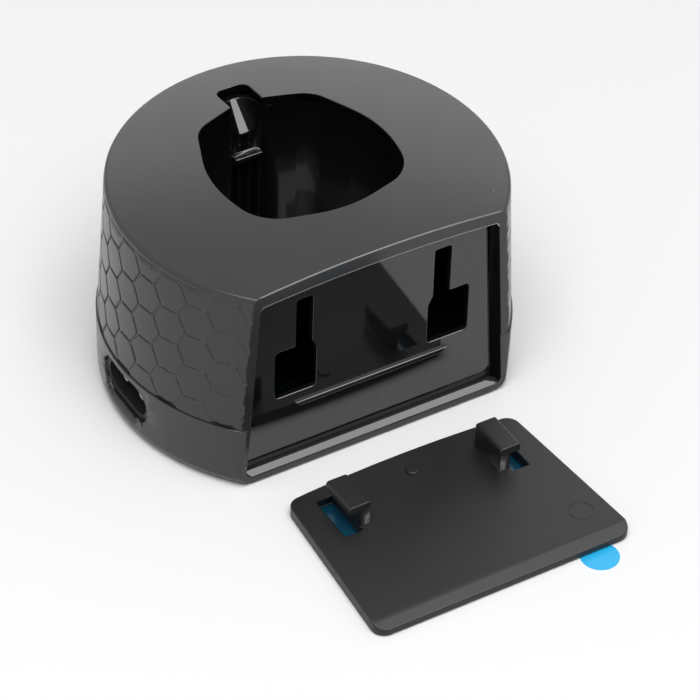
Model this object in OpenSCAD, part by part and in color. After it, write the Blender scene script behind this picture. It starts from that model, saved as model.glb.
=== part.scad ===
// Wall-mounted shaver charger: a round-fronted dock with a shaver well, and the wall plate it hangs on.
// +Z is up, +Y points to the wall side, -Y is the front. The origin is on the table under the dock,
// at the centre of its round side. The wall plate lies behind the dock with its hooks up.

/* [Dock shell] */
// Radius of the round side at its top rim
rim_r = 43; // [42:0.5:46]
// Height of the top rim above the table
rim_z = 50.5; // [50:0.5:56]
// Radius of the shallow dome that forms the top
dome_r = 262.5; // [220:10:400]
// Lean of the side out of the vertical, in degrees
side_draft = 3.05; // [2:0.05:3.5]
// Distance from the circle's centre to the wall plane
wall_y = 30.4; // [30:0.1:31.5]
// Rounding of the edge between side and top
rim_round = 1; // [0.6:0.1:1.4]
// Rounding of the straight rear edge of the top
back_round = 0.9; // [0.5:0.1:1.2]
// Thickness of the moulded walls
shell_t = 2.2; // [1.8:0.1:2.4]

/* [Honeycomb relief] */
// Height of one cell, groove to groove
cell_h = 7.95; // [6:0.15:10]
// Angle between neighbouring columns of cells, in degrees
cell_angle = 9.15; // [8:0.05:11]
// Angle of the first column from the +X side, in degrees
cell_phase = 0.4; // [0:0.1:4]
// Height of a cell's centre in the first column
cell_centre_z = 20.7; // [18:0.1:24]
// Width of the groove between cells
groove_w = 0.5; // [0.3:0.05:0.8]
// Depth of the groove between cells
groove_d = 0.3; // [0.2:0.05:0.6]

/* [Base tray] */
// Height of the line between the smooth band and the honeycomb
seam_z = 16; // [15.8:0.1:17]
// Gap of the joint line between tray and housing
seam_gap = 0.12; // [0.08:0.02:0.3]
// How far the smooth band stands proud of the honeycomb
band_proud = 0.35; // [0.2:0.05:0.6]
// Height of the tray's underside above the table
tray_lift = 0.4; // [0.3:0.05:0.6]
// Thickness of the tray's floor
floor_t = 1.6; // [1.5:0.05:1.8]
// Rounding of the tray's bottom edge
base_round = 2.4; // [1.6:0.1:2.6]
// Rounding in plan of the tray's two rear corners
tray_corner_r = 6; // [3:0.5:8]
// Height of the tongue that locates the housing
tongue_h = 1.2; // [0.8:0.1:1.2]

/* [Back recess and hook panel] */
// Depth of the recess behind the wall plane
recess_d = 2.6; // [2.2:0.1:2.8]
// Height of the top of the recess at its middle
recess_top_z = 48.8; // [47:0.1:48.9]
// Width of the frame between the recess and the side, at the top of the recess
frame_w = 1.84; // [1.6:0.04:2.4]
// Outward lean of the recess's sides, in degrees
recess_flare = 4; // [3:0.1:4.2]
// How far each side wall slants inwards over the recess's depth
recess_slant = 1.25; // [0.8:0.05:1.4]
// Height of the sill under the recess at the wall plane
sill_z = 2; // [2:0.05:2.4]
// Rise of the sill's sloping front
sill_rise = 0.7; // [0.4:0.05:0.8]
// Depth of the sill's sloping front
sill_run = 1.7; // [1:0.1:2]
// Radius of the arched top edges of recess, panel and wall plate
arch_r = 316; // [250:2:500]
// Thickness of the hook panel
panel_t = 1.2; // [1:0.05:1.3]
// Width of the hook panel hidden behind the frame on each side
panel_lap = 1.4; // [1:0.1:1.5]
// Width of the narrow slot of a keyhole
slot_w = 3.95; // [3.6:0.05:4.6]
// Distance of the narrow slot's centre from the recess's side at its top
slot_inset = 11.9; // [11.4:0.1:12.6]
// Height of the top end of the narrow slot
slot_top_z = 43.85; // [42:0.1:45]
// Width of the wide mouth of a keyhole
mouth_w = 10; // [9:0.1:11]
// Height of the mouth's top edge, where the narrow slot begins
mouth_top_z = 31.5; // [30.5:0.1:32]
// Height of the mouth's bottom edge
mouth_low_z = 18.9; // [18.4:0.1:20]
// Chamfer of the mouth's inner upper corner
mouth_chamfer = 2.1; // [1:0.1:2.4]
// Length of the narrow ledge across the panel
ledge_w = 37.8; // [30:0.2:42]
// Height of the ledge's upper edge
ledge_z = 16.4; // [15:0.1:17.2]
// How far the ledge stands out of the panel
ledge_out = 0.6; // [0.3:0.05:0.9]

/* [Shaver well] */
// Width of the well's outline between its side corners before rounding
well_w = 43; // [41:0.5:44]
// Width between its two rear corners before rounding
well_rear_w = 37; // [34:0.5:38]
// Width between its two front corners before rounding
well_front_w = 28.3; // [26:0.5:30]
// Distance from the circle's centre to the rear point before rounding
well_rear = 17; // [16:0.1:17.4]
// Distance from the centre to the rear corners
well_rear_corner = 11.7; // [11:0.1:12.4]
// Distance forward of the centre to the side corners
well_side_corner = 5; // [3:0.1:7]
// Distance forward of the centre to the front corners
well_front_corner = 22.5; // [21.5:0.1:23]
// Distance forward of the centre to the front point before rounding
well_front = 27.3; // [26.5:0.1:27.6]
// Height of the well's floor above the table
well_floor_z = 14; // [14:0.1:16]
// Thickness of the cradle's walls and floor
cradle_t = 1.5; // [1.2:0.05:1.6]
// Width of the notch in the well's front edge
notch_w = 7.6; // [6:0.1:9]
// Distance forward of the centre to the notch's tip
notch_tip = 33.3; // [31:0.1:34]
// Corner radius of the notch's tip
notch_r = 1.9; // [1:0.1:2.5]
// Height of the notch's floor at its tip
chute_top_z = 51.2; // [50:0.1:51.4]
// Height of the notch's floor where it meets the well
chute_foot_z = 43; // [40:0.1:45]
// Width of the small lug on the well's front wall
lug_w = 6.8; // [4:0.1:7.4]
// Height of the lug's top
lug_z = 39.3; // [36:0.1:39.6]
// How far the lug stands into the well
lug_out = 1.8; // [1:0.1:2.2]

/* [Power inlet] */
// Height of the inlet's axis above the table
inlet_z = 9.7; // [9.6:0.05:10]
// Width of the hole in the tray
inlet_w = 18.9; // [17.5:0.1:19.4]
// Height of the hole in the tray
inlet_h = 9.9; // [9.4:0.1:10.2]
// Clearance between the socket's nose and the hole
inlet_gap = 0.3; // [0.15:0.05:0.4]
// Thickness of the socket's walls round its cavity
socket_wall = 1.2; // [1:0.1:1.4]
// Depth of the socket's cavity
cavity_d = 9; // [8:0.1:9.4]
// Diameter of an inlet pin
pin_d = 2.2; // [1.6:0.1:2.4]
// Distance between the two inlet pins
pin_pitch = 7; // [6:0.1:7.6]
// How far the inlet pins stay behind the socket's face
pin_setback = 1.4; // [1:0.1:2.4]

/* [Board and charging contacts] */
// Height of the circuit board's underside above the tray's floor
board_lift = 2; // [1.8:0.1:2]
// Thickness of the circuit board
board_t = 1.2; // [1:0.1:1.2]
// Distance between the two charging contacts
contact_pitch = 7; // [6.4:0.1:9]
// Distance forward of the circle's centre to the contacts
contact_y = 4; // [2:0.1:6]
// Diameter of a contact pin's tip
contact_d = 2; // [1.6:0.1:2.2]
// How far a contact pin stands out of the well's floor
contact_out = 2.5; // [2:0.1:2.8]
// Travel of a contact pin
contact_travel = 1.5; // [1:0.1:1.6]
// Running clearance round a contact pin and its collar
contact_gap = 0.2; // [0.1:0.05:0.25]
// Wire diameter of a contact spring
spring_wire = 0.36; // [0.3:0.02:0.4]
// Number of turns of a contact spring
spring_turns = 5; // [4:1:6]

/* [Wall plate] */
// Clearance on each side between the recess and the wall plate's top edge
plate_side_gap = 0.65; // [0.5:0.05:1.2]
// Outward lean of the wall plate's sides, in degrees
plate_flare = 4.34; // [3.5:0.02:4.6]
// Height of the wall plate
plate_h = 43.5; // [42:0.1:44.5]
// Thickness of the wall plate
plate_t = 2.5; // [2.2:0.05:2.8]
// Corner radius of the wall plate
plate_r = 3; // [2:0.1:4]
// Width of the sloping band along the bottom edge
bevel_w = 3.2; // [2:0.1:4]
// Thickness of the plate that the sloping band leaves at the edge
bevel_edge = 1.3; // [1:0.1:1.6]
// Distance of the plate from the dock's wall plane
plate_gap = 9.7; // [6:0.1:20]
// Sideways offset of the plate from the dock's middle
plate_x = 0.46; // [-2:0.01:2]
// Clearance between a hook's outer face and the keyhole's narrow slot
hook_gap = 0.175; // [0.1:0.025:0.3]
// Thickness of a hook's upright wall
hook_wall = 2.7; // [2.2:0.1:3]
// Overall width of a hook over its flange
hook_w = 5.2; // [4.8:0.1:5.6]
// Length of a hook
hook_l = 9.9; // [8:0.1:10.5]
// Distance from the plate's top edge to the hooks
hook_top = 5.3; // [5:0.1:6]
// Height of a hook above the plate's face
hook_out = 5.95; // [5.6:0.05:6.4]
// Thickness of a hook's flange
flange_t = 2.1; // [1.6:0.1:2.2]
// Width of the core slot beside each hook
core_w = 4.05; // [3.6:0.05:4.6]
// How far the core slot runs past each end of its hook
core_over = 1.1; // [0.6:0.1:1.4]
// Diameter of the detent bump between the hooks
bump_d = 2.8; // [2:0.1:4]
// Diameter of the round moulding mark
mark_d = 5.6; // [4:0.1:7]
// Thickness of the adhesive pad
adhesive_t = 0.8; // [0.6:0.05:1]
// Depth of the pad's seat in the plate
adhesive_seat = 0.5; // [0.3:0.05:0.55]
// Rim of plate left round the adhesive pad
adhesive_rim = 1.6; // [1.2:0.1:3]
// Thickness of the release liner
liner_t = 0.15; // [0.1:0.01:0.2]
// Radius of the liner's pull tab
tab_r = 4.2; // [3:0.1:6]

/* [Fasteners] */
// Shank diameter of the housing screws
housing_screw_d = 2.5; // [2.2:0.1:2.8]
// Length of the housing screws under the head
housing_screw_l = 10; // [8:0.5:12]
// Clearance between the housing screws' bosses and the tray's tongue
boss_gap = 0.6; // [0.4:0.1:1.2]
// Shank diameter of the cradle and board screws
small_screw_d = 2; // [1.8:0.1:2.2]
// Diameter of the non-slip pad
pad_d = 54; // [46:1:56]
// Thickness of the non-slip pad
pad_t = 0.9; // [0.8:0.05:1]

/* [Hidden] */
$fn = 96;
fine = 0.1;
far = 80;

wide_fn = 240;
dome_z = rim_z - sqrt(dome_r ^ 2 - rim_r ^ 2);
dome_bands = 12;
lip_y = wall_y - recess_d;
recess_top_w = 2 * (sqrt(side_r(recess_top_z) ^ 2 - wall_y ^ 2) - frame_w);
slot_x = recess_top_w / 2 - slot_inset;
panel_y = lip_y - panel_t;
tray_top_z = seam_z - seam_gap / 2;
housing_low_z = seam_z + seam_gap / 2;
tray_floor_z = tray_lift + floor_t;
tray_foot_slope = 0.25;
tray_r = rim_r + (rim_z - seam_z) * tan(side_draft) + band_proud;
rim_band = rim_round + 0.3;

cell_rows = ceil(rim_z / cell_h);
cell_root = 0.6;
cell_half_h = (cell_h - groove_w) / 2;
cell_column_w = side_r((rim_z + seam_z) / 2) * cell_angle * PI / 180;
cell_half_w = cell_column_w * 2 / 3 - groove_w / 2 / cos(30);

rail_t = 1.3;
rail_gap = 0.1;
rail_lap = 1.8;
rail_w = 10;

well_top = [[0, well_rear], [-well_rear_w / 2, well_rear_corner], [-well_w / 2, -well_side_corner],
            [-well_front_w / 2, -well_front_corner], [0, -well_front],
            [well_front_w / 2, -well_front_corner], [well_w / 2, -well_side_corner],
            [well_rear_w / 2, well_rear_corner]];
well_radii = [27, 10.5, 28, 7, 12.5, 7, 28, 10.5];
well_front_wall = well_front - 1.3;
flange_w = 2.5;
ear_r = 3.2;
ear_t = 1.5;
ear_rise = 2.5;
flange_z = chute_foot_z + ear_rise;
cradle_gap = 0.1;
ear_reach = 2.5;

board_z = tray_floor_z + board_lift;
board_top_z = board_z + board_t;
board_edge = 3.8;
cradle_floor_low = well_floor_z - cradle_t;

seat_t = 1;
collar_t = 0.8;
collar_over = 0.7;
shoulder_t = 1.2;
block_top_z = cradle_floor_low - 0.3;
collar_top_z = block_top_z - shoulder_t - fine;
collar_low_z = collar_top_z - collar_t;
travel_spare = 1;
guide_l = collar_low_z - board_top_z - seat_t - contact_travel - travel_spare;
block_margin = 4;
block_size = [contact_pitch + 2 * block_margin, 7];
collar_d = contact_d + 2 * collar_over;

nose_l = 4.2;
socket_l = 12.4;
nose_depth = 1.6;
nose_x = tray_r - nose_depth;
cavity_x = nose_x - cavity_d;
socket_x = [nose_x - nose_l - socket_l, nose_x - nose_l];
socket_half_w = inlet_w / 2 + 0.75;
nose_w = inlet_w - 2 * inlet_gap;
nose_h = inlet_h - 2 * inlet_gap;
tail_out = 1.6;
tail_x = socket_x[0] - tail_out;
tail_d = 1.2;
pin_root_d = pin_d + 0.4;
pin_shoulder = 0.3;
board_x = [-contact_pitch / 2 - 2 * block_margin - 0.5, socket_x[1] - 1.4];
board_y = [-socket_half_w - board_edge, socket_half_w + 1.3];
board_screw_in = 3.2;
board_screw_at = [[board_x[0] + board_screw_in, board_y[0] + board_screw_in],
                  [board_x[0] + board_screw_in, board_y[1] - board_screw_in],
                  [socket_x[0] - 6, board_y[0] + board_screw_in]];
part_inset = 5.488;
part_x = board_screw_at[2].x - part_inset;
diode_y = 4;
key_w = 2;
key_h = 0.9;

plate_z = liner_t + adhesive_t - adhesive_seat;
plate_face_z = plate_z + plate_t;
hook_low_y = plate_h - hook_top - hook_l;
hook_inner = slot_x + slot_w / 2 - hook_gap - hook_wall;
plate_top_w = recess_top_w - 2 * plate_side_gap;
plate_low_w = plate_top_w + 2 * plate_h * tan(plate_flare);
tab_inset = 9.45;
tab_out = 1.4;
mark_at = [plate_low_w / 2 - 7.05, 9.6];
edge_soft = 0.7;

housing_screw_ys = [-21.5, 17.5];
boss_d = 6.6;
tongue_t = 1.3;
tongue_r = side_r(tray_top_z + tongue_h) - shell_t - 0.25;
housing_screw_r = tongue_r - tongue_t - boss_gap - boss_d / 2;
screw_head_d = 5.2;
screw_head_h = 1.8;
head_clear = 0.3;
counterbore_z = 3.4;
tray_boss_z = 5;
tray_boss_d = 8;
standoff_d = 5;
small_head_d = 3.8;
small_head_h = 1.2;
cradle_screw_l = 4.5;
board_screw_l = 3;

// Radius of the drafted side at height z
function side_r(z) = rim_r + (rim_z - z) * tan(side_draft);

// Height of the dome over radius r, lowered by an inset
function dome_at(r, inset = 0) = dome_z + sqrt((dome_r - inset) ^ 2 - r ^ 2);

// Arc of radius r in the corner b between the neighbours a and c
function corner_arc(a, b, c, r, n) =
    let (u = (a - b) / norm(a - b),
         w = (c - b) / norm(c - b),
         half = acos(u * w) / 2,
         mid = b + (u + w) / norm(u + w) * r / sin(half),
         first = b + u * r / tan(half) - mid,
         last = b + w * r / tan(half) - mid,
         start = atan2(first.y, first.x),
         turn = (atan2(last.y, last.x) - start + 540) % 360 - 180)
    [for (k = [0:n]) mid + r * [cos(start + turn * k / n), sin(start + turn * k / n)]];

// Outline with each corner rounded by its own radius
function rounded(pts, radii, n = 8) =
    let (count = len(pts))
    [for (i = [0:count - 1])
        each radii[i] > 0
            ? corner_arc(pts[(i + count - 1) % count], pts[i], pts[(i + 1) % count], radii[i], n)
            : [pts[i]]];

// Outward normal of the edge from a to b of a counter-clockwise outline
function edge_normal(a, b) = [b.y - a.y, a.x - b.x] / norm(b - a);

// Counter-clockwise outline moved outwards by t
function grown(pts, t) =
    let (count = len(pts))
    [for (i = [0:count - 1])
        let (n1 = edge_normal(pts[(i + count - 1) % count], pts[i]),
             n2 = edge_normal(pts[i], pts[(i + 1) % count]))
        pts[i] + (n1 + n2) * t / (1 + n1 * n2)];

// Outline of the well, moved outwards by t
function well_outline(t = 0) = rounded(grown(well_top, t), [for (r = well_radii) r + t], 10);

// Outline of the notch in front of the well, moved outwards by t
function notch_outline(t = 0) =
    let (w = notch_w / 2 + t)
    rounded([[-w, -well_side_corner], [-w, -notch_tip - t], [w, -notch_tip - t], [w, -well_side_corner]],
            [0, notch_r + t, notch_r + t, 0]);

// Trapezoid with an arched top edge, low edge at low, middle of the arch at top
function arched_outline(top_w, low_w, low, top, low_r, top_r) =
    let (arcs = 10,
         drop = top_w ^ 2 / 8 / arch_r,
         pts = concat([[-low_w / 2, low], [low_w / 2, low], [top_w / 2, top - drop]],
                      [for (k = [1:arcs - 1])
                          let (x = top_w * (0.5 - k / arcs)) [x, top - x ^ 2 / 2 / arch_r]],
                      [[-top_w / 2, top - drop]]),
         radii = concat([low_r, low_r, top_r], [for (k = [1:arcs - 1]) 0], [top_r]))
    rounded(pts, radii);

// Width of the recess at height z
function recess_w(z) = recess_top_w + 2 * (recess_top_z - z) * tan(recess_flare);

// Slope of the notch's floor, in degrees
function chute_slope() = atan2(chute_top_z - chute_foot_z, notch_tip - well_front_wall);

// Extrudes an outline in x and z along y, from y_high towards the front
module along_y(y_high, depth) {
    translate([0, y_high, 0]) rotate([90, 0, 0]) linear_extrude(depth) children();
}

// Extrudes an outline in y and z along x, centred
module along_x(width) {
    rotate([90, 0, 90]) linear_extrude(width, center = true) children();
}

// Obround bar along x, its long side along y
module obround_x(x, length, w, h) {
    translate([x, 0, inlet_z]) {
        for (side = [-1, 1])
            translate([0, side * (w - h) / 2, 0]) rotate([0, 90, 0]) cylinder(d = h, h = length);
        translate([0, -(w - h) / 2, -h / 2]) cube([length, w - h, h]);
    }
}

// Everything on the room side of the plane y
module in_front_of(y) {
    translate([-far, y - 2 * far, -far]) cube([2 * far, 2 * far, 2 * far]);
}

// Revolved form of the upper shell, from height low_z up, moved inwards by an inset
module upper_form(low_z, inset, waist) {
    rim = [side_r(rim_z) - inset, dome_at(rim_r - inset, inset)];
    top = [for (k = [0:dome_bands - 1])
              let (r = rim.x * k / dome_bands) [r, dome_at(r, inset)]];
    foot = [side_r(low_z) - inset, low_z];
    edge = corner_arc(top[dome_bands - 1], rim, foot, rim_round, 5);
    waist_z = rim_z - rim_band;
    step = [[side_r(waist_z) - inset, waist_z], [side_r(waist_z) - inset - waist, waist_z],
            foot - [waist, 0]];
    rotate_extrude($fn = wide_fn) polygon(concat([[0, low_z]], top, edge, step));
}

// Cuts the rounding along the straight rear edge of the top
module rear_edge_cut() {
    edge_r = sqrt(dome_r ^ 2 - wall_y ^ 2);
    side = [edge_r - 3, 0];
    roof = [edge_r + 3 * tan(asin(wall_y / dome_r)), -3];
    arc = corner_arc(side, [edge_r, 0], roof, back_round, 4);
    spread = 22;
    translate([0, wall_y, dome_z])
        rotate([-90, 0, 0])
            rotate([0, 0, 270 - spread / 2])
                rotate_extrude(angle = spread, $fn = 720)
                    polygon(concat([[arc[0].x, 1]], arc, [[arc[4].x + 2, arc[4].y], [edge_r + 3, 1]]));
}

// The shallow recess in the back, with its slanting side walls and its sill
module recess() {
    low_w = recess_w(sill_z);
    difference() {
        along_y(wall_y + 1, recess_d + 1)
            polygon(arched_outline(recess_top_w, low_w, sill_z, recess_top_z, 2, 1));
        for (side = [0, 1])
            mirror([side, 0, 0])
                translate([low_w / 2, lip_y, sill_z])
                    rotate([0, -recess_flare, 0])
                        translate([0, 0, -5])
                            linear_extrude(far)
                                polygon([[-recess_slant, -1], [-recess_slant, 0], [0, recess_d],
                                         [1, recess_d], [1, -1]]);
        along_x(2 * far)
            polygon([[lip_y - 1, sill_z - 1], [lip_y - 1, sill_z + sill_rise],
                     [wall_y - sill_run, sill_z + sill_rise], [wall_y, sill_z], [wall_y, sill_z - 1]]);
    }
}

// One raised cell of the honeycomb, standing along +X
module cell() {
    rotate([90, 0, 90])
        linear_extrude(far)
            polygon([for (p = [[1, 0], [0.5, 1], [-0.5, 1], [-1, 0], [-0.5, -1], [0.5, -1]])
                        [p.x * cell_half_w, p.y * cell_half_h]]);
}

// The honeycomb round the side, cut level with the drafted wall
module honeycomb() {
    first = floor((-230 - cell_phase) / cell_angle);
    last = ceil((50 - cell_phase) / cell_angle);
    intersection() {
        for (column = [first:last], row = [-cell_rows:cell_rows]) {
            z = cell_centre_z + (row + (column % 2 == 0 ? 0 : 0.5)) * cell_h;
            if (z + cell_half_h > housing_low_z + 1 && z - cell_half_h < rim_z - rim_band - 1)
                rotate([0, 0, cell_phase + column * cell_angle])
                    translate([rim_r / 2, 0, z]) cell();
        }
        difference() {
            drafted_cone(0);
            drafted_cone(groove_d + cell_root);
        }
    }
}

// Cone along the drafted side, from the joint line to the rim, moved inwards by an inset
module drafted_cone(inset) {
    high = rim_z - rim_band / 2;
    translate([0, 0, housing_low_z])
        cylinder(r1 = side_r(housing_low_z) - inset, r2 = side_r(high) - inset,
                 h = high - housing_low_z, $fn = wide_fn);
}

// Places its children at the four housing screws
module at_housing_screws() {
    for (side = [-1, 1], y = housing_screw_ys)
        translate([side * sqrt(housing_screw_r ^ 2 - y ^ 2), y, 0]) children();
}

// Places its children at the four cradle screws, beside the well's rear and front corners
module at_cradle_screws() {
    for (i = [1, 3, 5, 7]) {
        n1 = edge_normal(well_top[i - 1], well_top[i]);
        n2 = edge_normal(well_top[i], well_top[(i + 1) % 8]);
        out = (n1 + n2) / norm(n1 + n2);
        arc_mid = well_top[i] - out * well_radii[i] / (out * n1);
        spot = arc_mid + out * (well_radii[i] + cradle_t + ear_reach);
        translate([spot.x, spot.y, 0]) children();
    }
}

// Places its children at the two charging contacts
module at_contacts() {
    for (side = [-1, 1]) translate([side * contact_pitch / 2, -contact_y, 0]) children();
}

// Pan-head screw, head down at z = 0 and shank up
module screw(d, length, head_d, head_h) {
    cylinder(d = d, h = length);
    difference() {
        translate([0, 0, -head_h]) cylinder(d = head_d, h = head_h);
        for (turn = [0, 90])
            rotate([0, 0, turn])
                translate([-head_d / 4, -head_d / 16, -head_h - 1])
                    cube([head_d / 2, head_d / 8, 1 + head_h / 2]);
    }
}

// Moulded upper shell: domed top, honeycomb side, rear frame, screw bosses and panel rails
module housing() {
    color([0.13, 0.13, 0.14])
        difference() {
            intersection() {
                union() {
                    difference() {
                        upper_form(housing_low_z, 0, groove_d);
                        intersection() {
                            upper_form(housing_low_z - 1, shell_t, 0);
                            in_front_of(lip_y);
                        }
                    }
                    honeycomb();
                    housing_inside();
                }
                in_front_of(wall_y);
            }
            linear_extrude(far) polygon(well_outline());
            linear_extrude(far) polygon(notch_outline());
            recess();
            rear_edge_cut();
            at_housing_screws() cylinder(d = housing_screw_d + fine, h = counterbore_z + housing_screw_l + 1);
            at_cradle_screws()
                cylinder(d = small_screw_d + fine, h = flange_z + cradle_screw_l + 0.5);
        }
}

// Bosses and rails inside the housing
module housing_inside() {
    intersection() {
        union() {
            at_housing_screws() translate([0, 0, tray_boss_z + fine]) cylinder(d = boss_d, h = far);
            at_cradle_screws() translate([0, 0, flange_z + fine]) cylinder(d = small_head_d + 1, h = far);
            for (side = [0, 1])
                mirror([side, 0, 0])
                    translate([recess_w(slot_top_z) / 2 - rail_lap, panel_y - rail_gap - rail_t,
                               tray_top_z + tongue_h + 0.6])
                        cube([rail_w, rail_t, far]);
        }
        upper_form(tray_boss_z, shell_t / 2, 0);
    }
}

// Moulded lower shell: smooth band, floor, sill, inlet hole and supports
module base_tray() {
    color([0.13, 0.13, 0.14])
        difference() {
            union() {
                intersection() {
                    difference() {
                        tray_form();
                        intersection() {
                            translate([0, 0, tray_floor_z])
                                cylinder(r = tray_r - shell_t, h = far, $fn = wide_fn);
                            in_front_of(lip_y);
                        }
                    }
                    in_front_of(wall_y);
                }
                tray_sill();
                tongue();
                tray_supports();
                inlet_key();
            }
            recess();
            difference() {
                obround_x(socket_x[1], far, inlet_w, inlet_h);
                inlet_key();
            }
            for (side = [0, 1]) mirror([side, 0, 0]) tray_corner_cut();
            at_housing_screws() {
                cylinder(d = screw_head_d + 2 * head_clear, h = counterbore_z);
                cylinder(d = housing_screw_d + 0.5, h = far);
            }
            for (spot = board_screw_at)
                translate([spot.x, spot.y, board_z - 2.4]) cylinder(d = small_screw_d + fine, h = far);
            cylinder(d = pad_d + 2 * head_clear, h = pad_t);
        }
}

// Revolved outside of the tray with its rounded bottom edge
module tray_form() {
    foot = [tray_r - tray_foot_slope, tray_lift];
    edge = corner_arc([0, tray_lift], foot, [tray_r, tray_top_z], base_round, 6);
    rotate_extrude($fn = wide_fn)
        polygon(concat([[0, tray_lift]], edge, [[tray_r, tray_top_z], [0, tray_top_z]]));
}

// Raised sill that the hook panel stands on, with two stops behind the panel
module tray_sill() {
    sill_w = recess_w(sill_z) + panel_lap;
    stop_x = ledge_w / 2 + 1.1;
    translate([-sill_w / 2, panel_y - rail_gap, tray_floor_z - fine])
        cube([sill_w, lip_y - panel_y + rail_gap + recess_d / 2, sill_z + sill_rise - tray_floor_z + fine]);
    for (side = [-1, 1])
        translate([side * stop_x - 2, panel_y - rail_gap - rail_t, tray_floor_z - fine]) cube([4, rail_t, 8]);
}

// Ring tongue that reaches up inside the housing
module tongue() {
    root = 2.6;
    intersection() {
        difference() {
            translate([0, 0, tray_top_z - root]) {
                cylinder(r = tongue_r, h = root + tongue_h, $fn = wide_fn);
                cylinder(r = tray_r - shell_t / 2, h = root, $fn = wide_fn);
            }
            cylinder(r = tongue_r - tongue_t, h = far, $fn = wide_fn);
        }
        in_front_of(panel_y - rail_gap - rail_t - 0.6);
    }
}

// Screw bosses and board standoffs on the tray's floor
module tray_supports() {
    foot_z = tray_floor_z - fine;
    at_housing_screws() translate([0, 0, foot_z]) cylinder(d = tray_boss_d, h = tray_boss_z - foot_z);
    for (spot = board_screw_at)
        translate([spot.x, spot.y, foot_z]) cylinder(d = standoff_d, h = board_z - foot_z);
}

// Small key that fills part of one end of the inlet hole
module inlet_key() {
    translate([nose_x + 0.2, inlet_w / 2 - inlet_h / 2 + 1, inlet_z - inlet_h / 2 - fine])
        cube([0.8, key_w, key_h + fine]);
}

// Rounds one rear corner of the tray in plan
module tray_corner_cut() {
    cy = wall_y - tray_corner_r;
    cx = sqrt((tray_r - tray_corner_r) ^ 2 - cy ^ 2);
    start = atan2(cy, cx);
    reach = 2 * tray_corner_r;
    translate([cx, cy, -1])
        linear_extrude(tray_top_z + 3)
            difference() {
                polygon([for (a = [start, (start + 90) / 2, 90])
                            reach * [cos(a), sin(a)] * (a == start || a == 90 ? 1 : 1.2)]);
                circle(r = tray_corner_r);
            }
}

// Glossy panel behind the rear frame, with its two keyholes and its ledge
module hook_panel() {
    low = sill_z + sill_rise;
    top = recess_top_z + 0.8;
    tip = 1.2;
    color([0.09, 0.09, 0.1])
        difference() {
            union() {
                along_y(lip_y, panel_t)
                    polygon(arched_outline(recess_w(top) - 2 * recess_slant + 2 * panel_lap,
                                           recess_w(low) - 2 * recess_slant + 2 * panel_lap, low, top, 1, 1));
                along_y(lip_y + ledge_out, ledge_out + panel_t / 2)
                    polygon([[-ledge_w / 2, ledge_z], [-ledge_w / 2 + tip, ledge_z - tip],
                             [ledge_w / 2 - tip, ledge_z - tip], [ledge_w / 2, ledge_z]]);
            }
            for (side = [0, 1]) mirror([side, 0, 0]) along_y(far, far) polygon(keyhole_outline());
        }
}

// Keyhole on the +X side: a wide mouth below and a narrow slot above
function keyhole_outline() =
    let (inner = slot_x - slot_w / 2,
         outer = slot_x + slot_w / 2,
         mouth_inner = inner - 1.1,
         mouth_outer = mouth_inner + mouth_w)
    rounded([[mouth_inner, mouth_low_z], [mouth_outer, mouth_low_z], [mouth_outer, mouth_top_z],
             [outer, mouth_top_z], [outer, slot_top_z], [inner, slot_top_z], [inner, mouth_top_z],
             [mouth_inner, mouth_top_z - mouth_chamfer]],
            [0.8, 0.8, 0.8, 0.4, 0.5, 0.5, 0, 0], 3);

// Sloping trough from the well to the notch's tip, round below and open above, moved outwards by t
module chute(t = 0) {
    r = notch_w / 2;
    reach = notch_tip - well_side_corner;
    translate([0, -well_front_wall, chute_foot_z])
        rotate([-chute_slope(), 0, 0])
            along_y(reach, 2 * reach)
                translate([0, r])
                    polygon(concat([for (a = [180:7.5:360]) (r + t) * [cos(a), sin(a)]],
                                   [[r + t, far], [-r - t, far]]));
}

// Cup that holds the shaver: walls, floor, sloping notch, lug, and a flange with four screw ears
module cradle() {
    color([0.09, 0.09, 0.1])
        difference() {
            intersection() {
                union() {
                    translate([0, 0, cradle_floor_low]) linear_extrude(far) polygon(well_outline(cradle_t));
                    intersection() {
                        linear_extrude(far) polygon(notch_outline(cradle_t));
                        chute(cradle_t);
                    }
                    translate([0, 0, flange_z - ear_t]) {
                        linear_extrude(ear_t) polygon(well_outline(cradle_t + flange_w));
                        at_cradle_screws() cylinder(r = ear_r, h = ear_t);
                    }
                }
                upper_form(0, shell_t + cradle_gap, 0);
            }
            difference() {
                union() {
                    translate([0, 0, well_floor_z]) linear_extrude(far) polygon(well_outline());
                    intersection() {
                        linear_extrude(far) polygon(notch_outline());
                        chute();
                    }
                }
                lug();
            }
            at_contacts() cylinder(d = contact_d + 4 * contact_gap, h = well_floor_z + 1);
            at_cradle_screws() cylinder(d = small_screw_d + 0.4, h = far);
        }
}

// Lug on the well's front wall, below the notch
module lug() {
    lug_h = 3;
    along_x(lug_w)
        polygon([[-well_front_wall - 0.5, lug_z], [-well_front_wall + lug_out, lug_z],
                 [-well_front_wall + lug_out, lug_z - lug_h / 2], [-well_front_wall - 0.5, lug_z - lug_h]]);
}

// Rubber disc under the tray
module non_slip_pad() {
    color([0.2, 0.2, 0.21]) cylinder(d = pad_d, h = pad_t - 0.02);
}

// Four screws that hold the tray to the housing
module housing_screws() {
    color("silver")
        at_housing_screws()
            translate([0, 0, counterbore_z])
                screw(housing_screw_d, housing_screw_l, screw_head_d, screw_head_h);
}

// Four screws that hold the cradle's flange to the housing
module cradle_screws() {
    color("silver")
        at_cradle_screws()
            translate([0, 0, flange_z - ear_t])
                screw(small_screw_d, cradle_screw_l, small_head_d, small_head_h);
}

// Three screws that hold the board to its standoffs
module board_screws() {
    color("silver")
        for (spot = board_screw_at)
            translate([spot.x, spot.y, board_top_z])
                mirror([0, 0, 1]) screw(small_screw_d, board_screw_l, small_head_d, small_head_h);
}

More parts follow.
